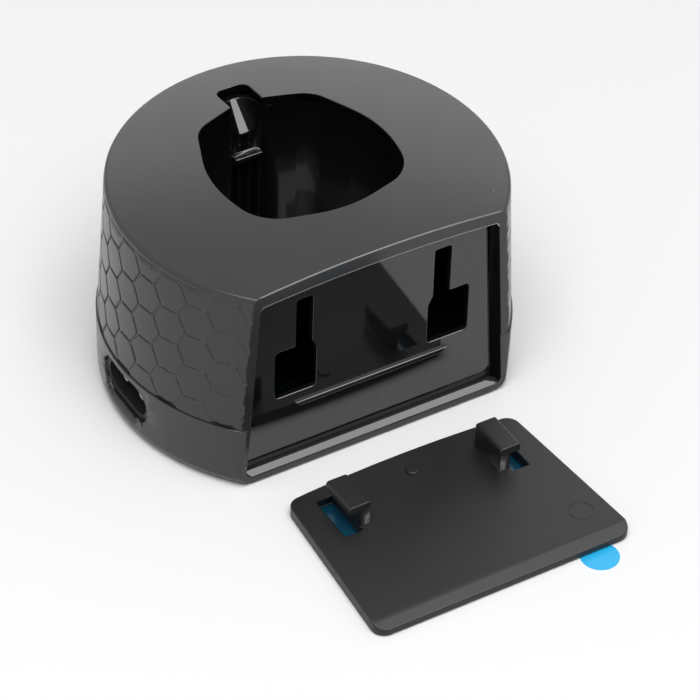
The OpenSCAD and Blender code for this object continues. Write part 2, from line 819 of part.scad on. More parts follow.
// Circuit board that carries the inlet and the contacts
module circuit_board() {
    color([0.1, 0.35, 0.18])
        difference() {
            translate([board_x[0], board_y[0], board_z])
                cube([board_x[1] - board_x[0], board_y[1] - board_y[0], board_t]);
            for (spot = board_screw_at)
                translate([spot.x, spot.y, 0]) cylinder(d = small_screw_d + 0.4, h = far);
            at_inlet_pins() translate([tail_x, 0, 0]) cylinder(d = tail_d + 0.2, h = far);
        }
}

// Places its children level with the two inlet pins
module at_inlet_pins() {
    for (side = [-1, 1]) translate([0, side * pin_pitch / 2, 0]) children();
}

// Insulating body of the power inlet, its nose in the tray's hole
module inlet_socket() {
    top = inlet_z + inlet_h / 2 + 0.35;
    back_wall = cavity_x - socket_x[0];
    color([0.16, 0.16, 0.17])
        difference() {
            union() {
                translate([socket_x[0], -socket_half_w, board_top_z])
                    cube([socket_l, 2 * socket_half_w, top - board_top_z]);
                obround_x(socket_x[1] - 1, nose_l + 1, nose_w, nose_h);
            }
            obround_x(cavity_x, cavity_d + 1, nose_w - 2 * socket_wall, nose_h - 2 * socket_wall);
            at_inlet_pins()
                translate([socket_x[0] - 1, 0, inlet_z])
                    rotate([0, 90, 0]) cylinder(d = pin_root_d + 0.04, h = back_wall + 2);
        }
}

// Two round inlet pins, each with a thicker root and a tail turned down into the board
module inlet_pins() {
    root_x = tail_x - tail_d / 2;
    root_l = cavity_x + pin_shoulder - root_x;
    pin_l = nose_x - pin_setback - root_x;
    color("silver")
        at_inlet_pins() {
            translate([root_x, 0, inlet_z])
                rotate([0, 90, 0]) {
                    cylinder(d = pin_root_d, h = root_l);
                    cylinder(d = pin_d, h = pin_l);
                }
            translate([tail_x, 0, board_z - 0.8]) cylinder(d = tail_d, h = inlet_z - board_z + 0.8);
        }
}

// Insulating block on the board that guides the two contact pins
module contact_block() {
    bore_d = collar_d + 2 * contact_gap;
    color([0.85, 0.83, 0.78])
        difference() {
            translate([-block_size.x / 2, -contact_y - block_size.y / 2, board_top_z])
                cube([block_size.x, block_size.y, block_top_z - board_top_z]);
            at_contacts() {
                cylinder(d = bore_d, h = collar_top_z + fine);
                cylinder(d = contact_d + 2 * contact_gap, h = far);
            }
        }
}

// Two metal discs on the board that carry the springs
module spring_seats() {
    color("gold") at_contacts() translate([0, 0, board_top_z]) cylinder(d = collar_d, h = seat_t);
}

// Sprung contact pin: domed tip, collar and spring guide
module contact_pin(side) {
    tip_z = well_floor_z + contact_out;
    color("gold")
        translate([side * contact_pitch / 2, -contact_y, 0]) {
            translate([0, 0, collar_low_z]) cylinder(d = contact_d, h = tip_z - contact_d / 2 - collar_low_z);
            translate([0, 0, tip_z - contact_d / 2]) sphere(d = contact_d, $fn = 48);
            translate([0, 0, collar_low_z]) cylinder(d = collar_d, h = collar_t);
            translate([0, 0, collar_low_z - guide_l]) cylinder(d = contact_d - 0.4, h = guide_l + fine);
        }
}

module contact_pin_left() {
    contact_pin(-1);
}

module contact_pin_right() {
    contact_pin(1);
}

// Point of the spring's wire surface: ring i of the coil, corner j of the wire
function wire_point(i, j, rings, low, high, coil_r) =
    let (turn = 360 * spring_turns * i / rings,
         r = coil_r + spring_wire / 2 * cos(60 * j),
         z = low + (high - low) * i / rings + spring_wire / 2 * sin(60 * j))
    [r * cos(turn), r * sin(turn), z];

// Compression spring between its seat and the pin's collar
module pin_spring(side) {
    rings = 10 * spring_turns;
    low = board_top_z + seat_t + spring_wire / 2 + 0.02;
    high = collar_low_z - spring_wire / 2 - 0.02;
    coil_r = (collar_d - spring_wire) / 2 - 0.05;
    points = [for (i = [0:rings], j = [0:5]) wire_point(i, j, rings, low, high, coil_r)];
    sides = [for (i = [0:rings - 1], j = [0:5])
                let (a = 6 * i + j, b = 6 * i + (j + 1) % 6) each [[a, a + 6, b], [b, a + 6, b + 6]]];
    ends = [[for (j = [0:5]) j], [for (j = [5:-1:0]) 6 * rings + j]];
    color("silver")
        translate([side * contact_pitch / 2, -contact_y, 0])
            polyhedron(points, concat(sides, ends));
}

module pin_spring_left() {
    pin_spring(-1);
}

module pin_spring_right() {
    pin_spring(1);
}

// Can capacitor standing on the board
module smoothing_capacitor() {
    can_d = 5;
    can_h = 5.2;
    color("dimgray")
        translate([part_x, -contact_y - can_d / 2 - 1.5, board_top_z])
            difference() {
                cylinder(d = can_d, h = can_h);
                translate([0, 0, 0.9]) rotate_extrude() translate([can_d / 2, 0]) circle(d = 0.6, $fn = 24);
            }
}

// Diode between the inlet and the contacts
module input_diode() {
    size = [4.6, 2.7, 2.1];
    color([0.12, 0.12, 0.12])
        translate([part_x - size.x / 2, diode_y, board_top_z]) cube(size);
}

// Lays its children down on the table behind the dock, top edge towards the dock
module laid_flat() {
    translate([plate_x, wall_y + plate_gap + plate_h, 0]) rotate([0, 0, 180]) children();
}

// Outline of the wall plate, drawn upright from its bottom edge, moved inwards by an inset
function plate_outline(inset = 0) =
    arched_outline(plate_top_w - 2 * inset, plate_low_w - 2 * inset, inset, plate_h - inset,
                   plate_r - inset / 2, plate_r - inset / 2);

// Core slot beside the hook on the +X side, widened by an overlap
module core_slot(over) {
    x = hook_inner + hook_wall - over;
    translate([x, hook_low_y - core_over - over, -1])
        cube([core_w + 2 * over, hook_l + 2 * core_over + 2 * over, far]);
}

// Hook on the +X side: an upright wall with a flange turned outwards
module hook() {
    top = plate_face_z + hook_out;
    along_y(hook_low_y + hook_l, hook_l)
        polygon(rounded([[hook_inner, plate_z + 0.5], [hook_inner + hook_wall, plate_z + 0.5],
                         [hook_inner + hook_wall, top - flange_t], [hook_inner + hook_w, top - flange_t],
                         [hook_inner + hook_w, top], [hook_inner, top]],
                        [0, 0, 0, 0, edge_soft, edge_soft], 4));
}

// Wall plate with two hooks, core slots, a detent bump and a sloping bottom edge
module wall_plate() {
    bump_h = 0.5;
    bump_drop = 0.6;
    mark_deep = 0.12;
    color([0.16, 0.16, 0.17])
        laid_flat()
            difference() {
                union() {
                    translate([0, 0, plate_z]) linear_extrude(plate_t) polygon(plate_outline());
                    for (side = [0, 1]) mirror([side, 0, 0]) hook();
                    translate([0, plate_h - hook_top - bump_drop, plate_face_z - fine])
                        cylinder(d = bump_d, h = bump_h + fine);
                }
                for (side = [0, 1]) mirror([side, 0, 0]) intersection() {
                    core_slot(0);
                    translate([-far, -far, -1]) cube([2 * far, 2 * far, plate_face_z + 1.5]);
                }
                along_x(2 * far)
                    polygon([[-1, plate_z + bevel_edge - (plate_t - bevel_edge) / bevel_w],
                             [bevel_w, plate_face_z], [bevel_w, plate_face_z + 1], [-1, plate_face_z + 1]]);
                linear_extrude(plate_z + adhesive_seat) polygon(plate_outline(adhesive_rim));
                translate([mark_at.x, mark_at.y, plate_face_z - mark_deep])
                    difference() {
                        cylinder(d = mark_d, h = 1);
                        translate([0, 0, -fine]) cylinder(d = mark_d - 0.5, h = 2);
                    }
            }
}

// Adhesive pad in the back of the wall plate, cut out at the slots
module adhesive_pad() {
    color([0.75, 0.8, 0.85])
        laid_flat()
            difference() {
                translate([0, 0, liner_t])
                    linear_extrude(adhesive_t - 0.02) polygon(plate_outline(adhesive_rim + 0.3));
                for (side = [0, 1]) mirror([side, 0, 0]) core_slot(0.5);
            }
}

// Release liner under the adhesive pad, with its round pull tab
module release_liner() {
    color([0.1, 0.6, 0.85])
        laid_flat()
            union() {
                linear_extrude(liner_t) polygon(plate_outline(adhesive_rim + 0.2));
                translate([plate_low_w / 2 - tab_inset, -tab_out, 0]) cylinder(r = tab_r, h = liner_t);
            }
}

housing();
base_tray();
hook_panel();
cradle();
non_slip_pad();
housing_screws();
cradle_screws();
board_screws();
circuit_board();
inlet_socket();
inlet_pins();
contact_block();
spring_seats();
contact_pin_left();
contact_pin_right();
pin_spring_left();
pin_spring_right();
smoothing_capacitor();
input_diode();
wall_plate();
adhesive_pad();
release_liner();
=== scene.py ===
import math

import bmesh
import bpy
from mathutils import Matrix, Vector


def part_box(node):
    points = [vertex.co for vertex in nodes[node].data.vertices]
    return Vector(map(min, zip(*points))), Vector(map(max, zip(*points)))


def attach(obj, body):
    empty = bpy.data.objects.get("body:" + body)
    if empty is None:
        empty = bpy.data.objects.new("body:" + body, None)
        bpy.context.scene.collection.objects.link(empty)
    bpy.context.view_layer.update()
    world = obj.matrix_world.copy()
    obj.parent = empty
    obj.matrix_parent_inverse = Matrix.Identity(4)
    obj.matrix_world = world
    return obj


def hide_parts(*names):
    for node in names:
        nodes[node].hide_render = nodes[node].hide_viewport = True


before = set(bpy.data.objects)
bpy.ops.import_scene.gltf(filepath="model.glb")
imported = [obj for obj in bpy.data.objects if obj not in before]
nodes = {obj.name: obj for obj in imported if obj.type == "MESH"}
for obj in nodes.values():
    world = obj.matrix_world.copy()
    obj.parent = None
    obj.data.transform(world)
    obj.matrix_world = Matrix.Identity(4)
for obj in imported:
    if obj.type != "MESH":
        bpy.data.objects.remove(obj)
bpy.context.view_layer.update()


# Housing: the upper shell of the dock, injection-moulded in black ABS and screwed to the tray from below.
# Its outside is satin, from a fine spark-eroded mould, and the rear recess is polished.
# The grain, the faint patches of sheen and the odd speck of dust are shared with the other mouldings.
def effect_group(name, inputs, outputs):
    """A shader node group with its sockets, and its input and output nodes."""
    group = bpy.data.node_groups.new(name, "ShaderNodeTree")
    for label, value in inputs.items():
        socket = group.interface.new_socket(label, in_out="INPUT", socket_type="NodeSocketFloat")
        socket.default_value = value
    for label in outputs:
        group.interface.new_socket(label, in_out="OUTPUT", socket_type="NodeSocketFloat")
    return group, group.nodes.new("NodeGroupInput"), group.nodes.new("NodeGroupOutput")


def math_node(tree, operation, a, b):
    """A Math node over sockets or numbers; returns its output socket."""
    node = tree.nodes.new("ShaderNodeMath")
    node.operation = operation
    for socket, value in zip(node.inputs, (a, b)):
        if isinstance(value, (int, float)):
            socket.default_value = value
        else:
            tree.links.new(value, socket)
    return node.outputs[0]


def moulded_grain():
    """Fine skin of a moulding: a height for the bump, and broad patches where the sheen differs."""
    scales = {"Grain scale": 2500.0, "Patch scale": 40.0}
    group, given, made = effect_group("moulded_grain", scales, ["Height", "Patch"])
    place = group.nodes.new("ShaderNodeTexCoord").outputs["Object"]
    grain = group.nodes.new("ShaderNodeTexNoise")
    grain.inputs["Detail"].default_value = 3.0
    patch = group.nodes.new("ShaderNodeTexNoise")
    patch.inputs["Detail"].default_value = 2.0
    for node, label in ((grain, "Grain scale"), (patch, "Patch scale")):
        group.links.new(place, node.inputs["Vector"])
        group.links.new(given.outputs[label], node.inputs["Scale"])
    group.links.new(grain.outputs["Fac"], made.inputs["Height"])
    group.links.new(patch.outputs["Fac"], made.inputs["Patch"])
    return group


def dust_specks():
    """Sparse specks of pale dust: 1 on a speck and 0 elsewhere."""
    group, given, made = effect_group("dust_specks", {"Scale": 220.0, "Size": 0.04, "Share": 0.1}, ["Mask"])
    place = group.nodes.new("ShaderNodeTexCoord").outputs["Object"]
    cells = group.nodes.new("ShaderNodeTexVoronoi")
    group.links.new(place, cells.inputs["Vector"])
    group.links.new(given.outputs["Scale"], cells.inputs["Scale"])
    parts = group.nodes.new("ShaderNodeSeparateColor")
    group.links.new(cells.outputs["Color"], parts.inputs[0])
    near = math_node(group, "LESS_THAN", cells.outputs["Distance"], given.outputs["Size"])
    chosen = math_node(group, "LESS_THAN", parts.outputs[0], given.outputs["Share"])
    group.links.new(math_node(group, "MULTIPLY", near, chosen), made.inputs["Mask"])
    return group


GRAIN, DUST = moulded_grain(), dust_specks()
DUST_COLOUR = (0.16, 0.16, 0.155, 1)


def blend_colours(tree, mask, colour, other):
    """Gives a material's base colour as a blend of two colours by a mask."""
    blend = tree.nodes.new("ShaderNodeMix")
    blend.data_type = "RGBA"
    blend.inputs["A"].default_value, blend.inputs["B"].default_value = colour, other
    tree.links.new(mask, blend.inputs["Factor"])
    tree.links.new(blend.outputs["Result"], tree.nodes["Principled BSDF"].inputs["Base Color"])


def moulded_plastic(name, colour, roughness, patches, bump, grain=2500.0, dust=0.0, specular=0.5):
    """Material of a moulding.

    roughness varies by patches either way, bump is the grain's height, and dust the share of dusty cells.
    """
    material = bpy.data.materials.new(name)
    material.use_nodes = True
    tree = material.node_tree
    shader = tree.nodes["Principled BSDF"]
    shader.inputs["Base Color"].default_value = (*colour, 1)
    shader.inputs["Specular IOR Level"].default_value = specular
    skin = tree.nodes.new("ShaderNodeGroup")
    skin.node_tree = GRAIN
    skin.inputs["Grain scale"].default_value = grain
    level = tree.nodes.new("ShaderNodeMapRange")
    level.inputs["From Min"].default_value, level.inputs["From Max"].default_value = 0.3, 0.7
    level.inputs["To Min"].default_value = roughness - patches
    level.inputs["To Max"].default_value = roughness + patches
    tree.links.new(skin.outputs["Patch"], level.inputs["Value"])
    tree.links.new(level.outputs[0], shader.inputs["Roughness"])
    relief = tree.nodes.new("ShaderNodeBump")
    relief.inputs["Distance"].default_value = bump
    tree.links.new(skin.outputs["Height"], relief.inputs["Height"])
    tree.links.new(relief.outputs["Normal"], shader.inputs["Normal"])
    if dust:
        specks = tree.nodes.new("ShaderNodeGroup")
        specks.node_tree = DUST
        specks.inputs["Share"].default_value = dust
        blend_colours(tree, specks.outputs["Mask"], (*colour, 1), DUST_COLOUR)
    return material


def finish_node(name, material):
    """Gives a CAD node its finish."""
    node = nodes[name]
    node.data.materials.clear()
    node.data.materials.append(material)


def apply_modifiers(piece):
    """Gives a piece the mesh that its modifiers make, and drops them."""
    before = piece.data
    seen_by = bpy.context.evaluated_depsgraph_get()
    piece.data = bpy.data.meshes.new_from_object(piece.evaluated_get(seen_by))
    piece.modifiers.clear()
    bpy.data.meshes.remove(before)


def rounded_copy(name, radius_at, moved_to, merged_from):
    """A merged copy of a CAD node with its sharp outer edges rounded.

    radius_at gives the radius wanted at a point, up to WIDEST; an edge takes the lesser of its two ends.
    moved_to gives a point's new place, before the rounding.
    Flat faces made of many triangles are merged where y is over merged_from.
    """
    work = bmesh.new()
    work.from_mesh(nodes[name].data)
    bmesh.ops.remove_doubles(work, verts=work.verts, dist=WELD)
    merging = [vert for vert in work.verts if vert.co.y > merged_from]
    between = [edge for edge in work.edges if all(vert.co.y > merged_from for vert in edge.verts)]
    bmesh.ops.dissolve_limit(work, angle_limit=FLAT, verts=merging, edges=between,
                             use_dissolve_boundaries=False, delimit=set())
    if moved_to:
        for vert in work.verts:
            vert.co = moved_to(vert.co)
    work.normal_update()
    share = work.edges.layers.float.new("bevel_weight_edge")
    for edge in work.edges:
        if edge.is_manifold and edge.calc_face_angle_signed() > ROUNDED_FROM:
            edge[share] = min(radius_at(vert.co) for vert in edge.verts) / WIDEST
    sharp = bpy.data.meshes.new(name + "_sharp")
    work.to_mesh(sharp)
    work.free()
    piece = bpy.data.objects.new(name + "_soft", sharp)
    bpy.context.scene.collection.objects.link(piece)
    rounding = piece.modifiers.new("rounding", "BEVEL")
    rounding.limit_method, rounding.offset_type = "WEIGHT", "OFFSET"
    rounding.width, rounding.segments, rounding.profile = WIDEST, 3, 0.5
    rounding.use_clamp_overlap, rounding.loop_slide, rounding.material = False, False, -1
    apply_modifiers(piece)
    return piece


def set_true_normals(piece, true_normal):
    """Gives the corners of a piece's faces their smooth normals, where true_normal knows them."""
    apply_modifiers(piece)
    shaded = piece.data
    normals = [corner.vector.copy() for corner in shaded.corner_normals]
    for face in shaded.polygons:
        for corner in face.loop_indices:
            place = shaded.vertices[shaded.loops[corner].vertex_index].co
            normals[corner] = true_normal(place, face.normal) or normals[corner]
    shaded.normals_split_custom_set(normals)


def softened(name, body, materials, radius_at, finish_at=None, moved_to=None,
             creased_at=None, true_normal=None, merged_from=-1.0):
    """A rounded copy of a CAD node that stands for it, with its finishes.

    radius_at, moved_to and merged_from are those of rounded_copy.
    finish_at picks a face's material, from the face's middle and normal; without it, all take the first.
    creased_at picks the ends of edges that stay crisp.
    true_normal gives the smooth normal at a face's corner, where it knows one.
    """
    piece = rounded_copy(name, radius_at, moved_to, merged_from)
    piece.data.materials.clear()
    for material in materials:
        piece.data.materials.append(material)
    for face in piece.data.polygons:
        face.use_smooth = True
        face.material_index = materials.index(finish_at(face.center, face.normal)) if finish_at else 0
    piece.data.set_sharp_from_angle(angle=CREASED_FROM)
    for edge in piece.data.edges:
        if creased_at and all(creased_at(piece.data.vertices[end].co) for end in edge.vertices):
            edge.use_edge_sharp = True
    shading = piece.modifiers.new("flat_faces_first", "WEIGHTED_NORMAL")
    shading.keep_sharp, shading.weight = True, 50
    if true_normal:
        set_true_normals(piece, true_normal)
    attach(piece, body)
    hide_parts(name)


# Distance within which two points are one, and the widest rounding
WELD, WIDEST = 2e-6, 0.0003
# Up to the first angle, faces are one plane; from the second, an edge is rounded; over the third, it is crisp
FLAT, ROUNDED_FROM, CREASED_FROM = math.radians(0.1), math.radians(32), math.radians(50)
SATIN_BLACK = moulded_plastic("satin_black_shell", (0.022, 0.022, 0.023), 0.24, 0.04, 4e-6, dust=0.35)
GLOSS_BLACK = moulded_plastic("polished_black", (0.008, 0.008, 0.0085), 0.07, 0.02, 1e-6, dust=0.3)
FRAME_BLACK = moulded_plastic("smooth_frame_black", (0.022, 0.022, 0.023), 0.16, 0.03, 2e-6, dust=0.35)
# Painted highlight: a light grey on the rounding of the top's straight rear edge, besides the lamps' own
# reflection there.
PAINTED_CHORD_HIGHLIGHT = moulded_plastic("chord_painted_highlight_grey", (0.16, 0.16, 0.16), 0.2, 0.02, 1e-6)
# Painted highlight: a pale grey on the rounding of the recess's top edge, standing in for a line of light.
PAINTED_RECESS_HIGHLIGHT = moulded_plastic("recess_edge_painted_highlight", (0.5, 0.5, 0.5), 0.2, 0.03, 1e-6)
# Painted shade: a deeper black that reflects little, on the recess's side walls, the well's mouth and the
# cup.
PAINTED_SHADE_BLACK = moulded_plastic("painted_shade_black", (0.004, 0.004, 0.0042), 0.22, 0.03, 1e-6, specular=0.05)

# The rim, the lean of the side, the ball that the dome is cut from, the wall plane and the joint line
RIM_RADIUS, RIM_Z, SIDE_DRAFT = 0.043, 0.0505, math.radians(3.05)
DOME_RADIUS, WALL_Y, SEAM_Z = 0.2625, 0.0304, 0.016
DOME_CENTRE_Z = RIM_Z - math.sqrt(DOME_RADIUS ** 2 - RIM_RADIUS ** 2)
# A point counts as on a surface within the first distance, and as beside it within the second
NEAR, BESIDE = 0.00003, 0.0001
# Depth of a groove in the CAD; here at the sides, what it gains towards the front, and the least left
CAD_GROOVE, SIDE_GROOVE, FRONT_GAIN, LEAST_GROOVE = 0.0003, 0.00028, 0.0003, 0.00002
# Lower and upper end of the relief, the heights over which its grooves fade there, and the shares left
RELIEF_LOW, RELIEF_TOP = SEAM_Z + 0.0003, RIM_Z - 0.0012
JOINT_FADE, RIM_FADE, JOINT_SHARE, RIM_SHARE = 0.0025, 0.004, 0.06, 0.4
# Deepest that a cell's face lies inside the side, and the share of its groove that rounds its edge
CELL_SKIN, CELL_ROUNDING = 0.00012, 0.85
# Reach of the rear recess with its rounded edges, in height and in depth, and the frame's least width
RECESS_FOOT, RECESS_TOP = 0.0018, 0.0492
RECESS_FLOOR, RECESS_MOUTH = WALL_Y - 0.0027, WALL_Y - 0.00002
FRAME_WIDTH = 0.0013
# The straight rear edge of the top: half its length, its depth, and its rounding
CHORD_HALF, CHORD_DEPTH, CHORD_ROUNDING = 0.0296, 0.0004, 0.00022
# Radius and rear plane that the well's mouth lies within, and a height below the upper edges
WELL_REACH, WELL_REAR, UPPER_Z = 0.034, 0.02, 0.045
# Radius and height of the centre line of the rim's rounding, and the radius where the dome meets it
ROUNDING_R, ROUNDING_Z, DOME_EDGE = 0.04214, 0.049731, 0.0423


def side_radius(z):
    """Radius of the drafted side at a height."""
    return RIM_RADIUS + (RIM_Z - z) * math.tan(SIDE_DRAFT)


def depth_inside(p):
    """How far a point lies inside the drafted side."""
    return side_radius(p.z) - math.hypot(p.x, p.y)


def at_wall(p):
    """True on the wall plane."""
    return p.y > WALL_Y - NEAR


def groove_depth(p):
    """Depth of the relief's grooves: deepest at the front, less by the frame, the rim and the joint line."""
    by_joint = max(JOINT_SHARE, (p.z - RELIEF_LOW) / JOINT_FADE)
    by_rim = max(RIM_SHARE, (RIM_Z - p.z) / RIM_FADE)
    full = SIDE_GROOVE - FRONT_GAIN * p.y / math.hypot(p.x, p.y)
    return max(LEAST_GROOVE, min(1.0, by_joint, by_rim) * full)


def faded_groove(p):
    """Moves a point on a groove's floor to the groove's depth there; one on the wall plane stays on it."""
    if abs(depth_inside(p) - CAD_GROOVE) > NEAR or p.z > RELIEF_TOP:
        return p
    r, r_new = math.hypot(p.x, p.y), side_radius(p.z) - groove_depth(p)
    if p.y > WALL_Y - NEAR / 3:
        return Vector((math.copysign(math.sqrt(r_new ** 2 - p.y ** 2), p.x), p.y, p.z))
    return Vector((p.x * r_new / r, p.y * r_new / r, p.z))


def on_chord(p):
    """True on the rounding along the straight rear edge of the top."""
    return abs(p.x) < CHORD_HALF and p.y > WALL_Y - CHORD_DEPTH and p.z > RIM_Z


def by_well(p):
    """True round the well's mouth."""
    return math.hypot(p.x, p.y) < WELL_REACH and p.y < WELL_REAR


def housing_radius(p):
    """Rounding of the housing's edges: the relief as its depth allows, the well's mouth and the recess."""
    if at_wall(p):
        round_recess = SEAM_Z < p.z < RECESS_TOP and depth_inside(p) > FRAME_WIDTH - BESIDE
        return WIDEST if round_recess else CHORD_ROUNDING if on_chord(p) else 0.0
    if depth_inside(p) < CELL_SKIN:
        in_relief = RELIEF_LOW < p.z < RELIEF_TOP
        return min(WIDEST, CELL_ROUNDING * groove_depth(p)) if in_relief else 0.0
    dome_z = DOME_CENTRE_Z + math.sqrt(DOME_RADIUS ** 2 - p.x ** 2 - p.y ** 2)
    return WIDEST if by_well(p) and abs(p.z - dome_z) < BESIDE else 0.0


def in_recess(p):
    """True on the walls of the rear recess."""
    in_reach = RECESS_FLOOR < p.y < RECESS_MOUTH and RECESS_FOOT < p.z < RECESS_TOP
    return in_reach and depth_inside(p) > FRAME_WIDTH


def recess_finish(p, normal):
    """Polished sill and top, painted shade on the side walls, and a painted highlight: a pale line along the
    top edge.
    """
    if p.y > WALL_Y - WIDEST and normal.z < -0.1 and p.z > UPPER_Z:
        return PAINTED_RECESS_HIGHLIGHT
    return PAINTED_SHADE_BLACK if abs(normal.x) > 0.5 else GLOSS_BLACK


def shell_finish(p, normal):
    """Finish of both shells: satin outside, a smoother frame at the back, and the recess's own."""
    if in_recess(p):
        return recess_finish(p, normal)
    return FRAME_BLACK if normal.y > 0.98 and at_wall(p) else SATIN_BLACK


def housing_finish(p, normal):
    """As both shells, with a painted highlight on the rounding along the back of the top, and painted shade
    on the wall at the well's mouth.
    """
    if on_chord(p) and 0.25 < normal.y < 0.97:
        return PAINTED_CHORD_HIGHLIGHT
    if by_well(p) and abs(normal.z) < 0.3 and p.z > UPPER_Z:
        return PAINTED_SHADE_BLACK
    return shell_finish(p, normal)


def dome_normal(p, normal):
    """The smooth normal of the domed top, and of the rounding that joins it to the side."""
    r = math.hypot(p.x, p.y)
    if r > DOME_EDGE and p.z > ROUNDING_Z and normal.y < 0.9 and normal.z > 0.12:
        return Vector((p.x * (1 - ROUNDING_R / r), p.y * (1 - ROUNDING_R / r), p.z - ROUNDING_Z)).normalized()
    from_centre = Vector((p.x, p.y, p.z - DOME_CENTRE_Z))
    if normal.z > 0.97 and abs(from_centre.length - DOME_RADIUS) < BESIDE / 2:
        return from_centre.normalized()
    return None


SHELL_FINISHES = [SATIN_BLACK, GLOSS_BLACK, PAINTED_CHORD_HIGHLIGHT, PAINTED_SHADE_BLACK, PAINTED_RECESS_HIGHLIGHT, FRAME_BLACK]
softened("housing", "dock", SHELL_FINISHES, housing_radius, housing_finish,
         faded_groove, true_normal=dome_normal)

# Base tray: the lower shell, moulded in the same satin black ABS, with the floor and the inlet's hole.
# Screws through its floor draw the housing down on it; its polished sill closes the foot of the recess.
TRAY_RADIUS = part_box("base_tray")[1][0]
TRAY_TOP_Z, TRAY_ROUNDING = SEAM_Z - 0.0002, 0.0002
# The sill's sloping front, as the CAD has it and a little steeper
SILL_FOOT_Z, CAD_SILL_RUN, CAD_SILL_RISE = 0.002, 0.0017, 0.0007
SILL_RUN, SILL_RISE = 0.0015, 0.00085
SILL_NORMAL = Vector((0, SILL_RISE, SILL_RUN)).normalized()


def tray_radius(p):
    """Rounding of the tray's outer top edge and its straight rear edges."""
    at_top = p.z > TRAY_TOP_Z
    rounded = not at_top if at_wall(p) else at_top and math.hypot(p.x, p.y) > TRAY_RADIUS - BESIDE
    return TRAY_ROUNDING if rounded else 0.0


def steeper_sill(p):
    """Turns the sill's sloping front a little steeper about its lower edge."""
    share = (WALL_Y - p.y) / CAD_SILL_RUN
    if not 0.01 < share < 1.01 or abs(p.z - SILL_FOOT_Z - CAD_SILL_RISE * share) > NEAR:
        return p
    return Vector((p.x, WALL_Y - SILL_RUN * share, SILL_FOOT_Z + SILL_RISE * share))


def on_sill_front(p):
    """True on the plane of the sill's sloping front."""
    off_plane = SILL_NORMAL.y * (p.y - WALL_Y + SILL_RUN) + SILL_NORMAL.z * (p.z - SILL_FOOT_Z - SILL_RISE)
    return abs(off_plane) < NEAR and p.y > WALL_Y - SILL_RUN - NEAR


softened("base_tray", "dock", SHELL_FINISHES, tray_radius, shell_finish, steeper_sill,
         on_sill_front, merged_from=0.022)

# Hook panel: the polished black plate behind the rear frame, moulded apart and held by the two shells.
# The wall plate's hooks go in at the wide mouths of its two keyholes and up into the narrow slots.
PANEL_BLACK = moulded_plastic("panel_black", (0.006, 0.006, 0.0063), 0.05, 0.015, 1e-6,
                              dust=0.3, specular=0.8)
PANEL_ROUNDING, LEDGE_OUT = 0.00018, 0.0006
PANEL_FACE_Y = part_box("hook_panel")[1][1] - LEDGE_OUT


def on_panel_face(p):
    """True on the panel's face and ledge, and on the rounding of their edges."""
    return p.y > PANEL_FACE_Y - PANEL_ROUNDING - NEAR


def panel_radius(p):
    """Rounding of the keyholes and the ledge, on the panel's face."""
    return PANEL_ROUNDING if on_panel_face(p) else 0.0


softened("hook_panel", "dock", [PANEL_BLACK], panel_radius, creased_at=on_panel_face)

# Cradle: the deep cup that holds the shaver's foot, moulded in black ABS and screwed up into the housing.
# At its front a notch's trough slopes down to a small lug, which keeps the shaver from turning.

# Reach of the lug to each side, its foot and top, and the reach of the notch's foot on the front wall
LUG_HALF, LUG_LOW_Z, LUG_TOP_Z = 0.005, 0.034, 0.0405
NOTCH_HALF, FRONT_Y = 0.006, -0.021
# The trough: its slope, its radius, its length in plan, its foot, and the direction square to its line
TROUGH_SLOPE, TROUGH_RADIUS, TROUGH_LENGTH = math.radians(48.32), 0.0038, 0.0073
TROUGH_FOOT = Vector((0, -0.026, 0.043))
TROUGH_UP = Vector((0, math.sin(TROUGH_SLOPE), math.cos(TROUGH_SLOPE)))
# Height of its flat bottom, with the heights that still count as on it
FLAT_RISE = TROUGH_RADIUS * (1 - math.cos(math.radians(15)))
FLAT_LOWEST, FLAT_HIGHEST = FLAT_RISE - 0.00005, FLAT_RISE + 0.00007
# Reach of the flat bottom to each side and over the foot, and a margin round it
FLAT_HALF, FLAT_OVER_FOOT, FLAT_MARGIN = 0.0011, 0.0005, 0.0002
# Width of the flat bottom at the foot, as a share of the CAD's, and what it loses by the tip
FOOT_SHARE, TIP_LOSS = 1.17, 0.6


def trough_height(p):
    """Height of a point over the lowest line of the trough, at right angles to it."""
    return (p - TROUGH_FOOT).dot(TROUGH_UP)


def flat_trough(p):
    """Gives the notch's round trough its flat bottom, narrow at the tip and wider at the foot."""
    if abs(p.x) > FLAT_HALF or p.y > TROUGH_FOOT.y + FLAT_OVER_FOOT:
        return p
    above = trough_height(p)
    if abs(above - TROUGH_RADIUS + math.sqrt(TROUGH_RADIUS ** 2 - p.x ** 2)) > NEAR:
        return p
    along = (TROUGH_FOOT.y - p.y) / TROUGH_LENGTH
    flat = p + TROUGH_UP * (FLAT_RISE - above)
    return Vector((p.x * (FOOT_SHARE - TIP_LOSS * along), flat.y, flat.z))


def on_trough_flat(p):
    """True on the flat bottom of the trough and along its two edges."""
    in_reach = abs(p.x) < FLAT_HALF + FLAT_MARGIN and p.y < TROUGH_FOOT.y - FLAT_MARGIN
    return in_reach and FLAT_LOWEST < trough_height(p) < FLAT_HIGHEST


def cradle_radius(p):
    """Rounding round the lug and the foot of the notch's trough."""
    return WIDEST if abs(p.x) < NOTCH_HALF and p.y < FRONT_Y and p.z > LUG_LOW_Z else 0.0


def cradle_finish(p, normal):
    """Polished on the trough's flat bottom and the lug; painted shade down in the cup, a deeper black that
    reflects less.
    """
    on_lug = abs(p.x) < LUG_HALF and p.y < FRONT_Y and LUG_LOW_Z < p.z < LUG_TOP_Z
    return GLOSS_BLACK if on_trough_flat(p) or on_lug else PAINTED_SHADE_BLACK


softened("cradle", "dock", [PAINTED_SHADE_BLACK, GLOSS_BLACK], cradle_radius, cradle_finish,
         flat_trough, on_trough_flat)

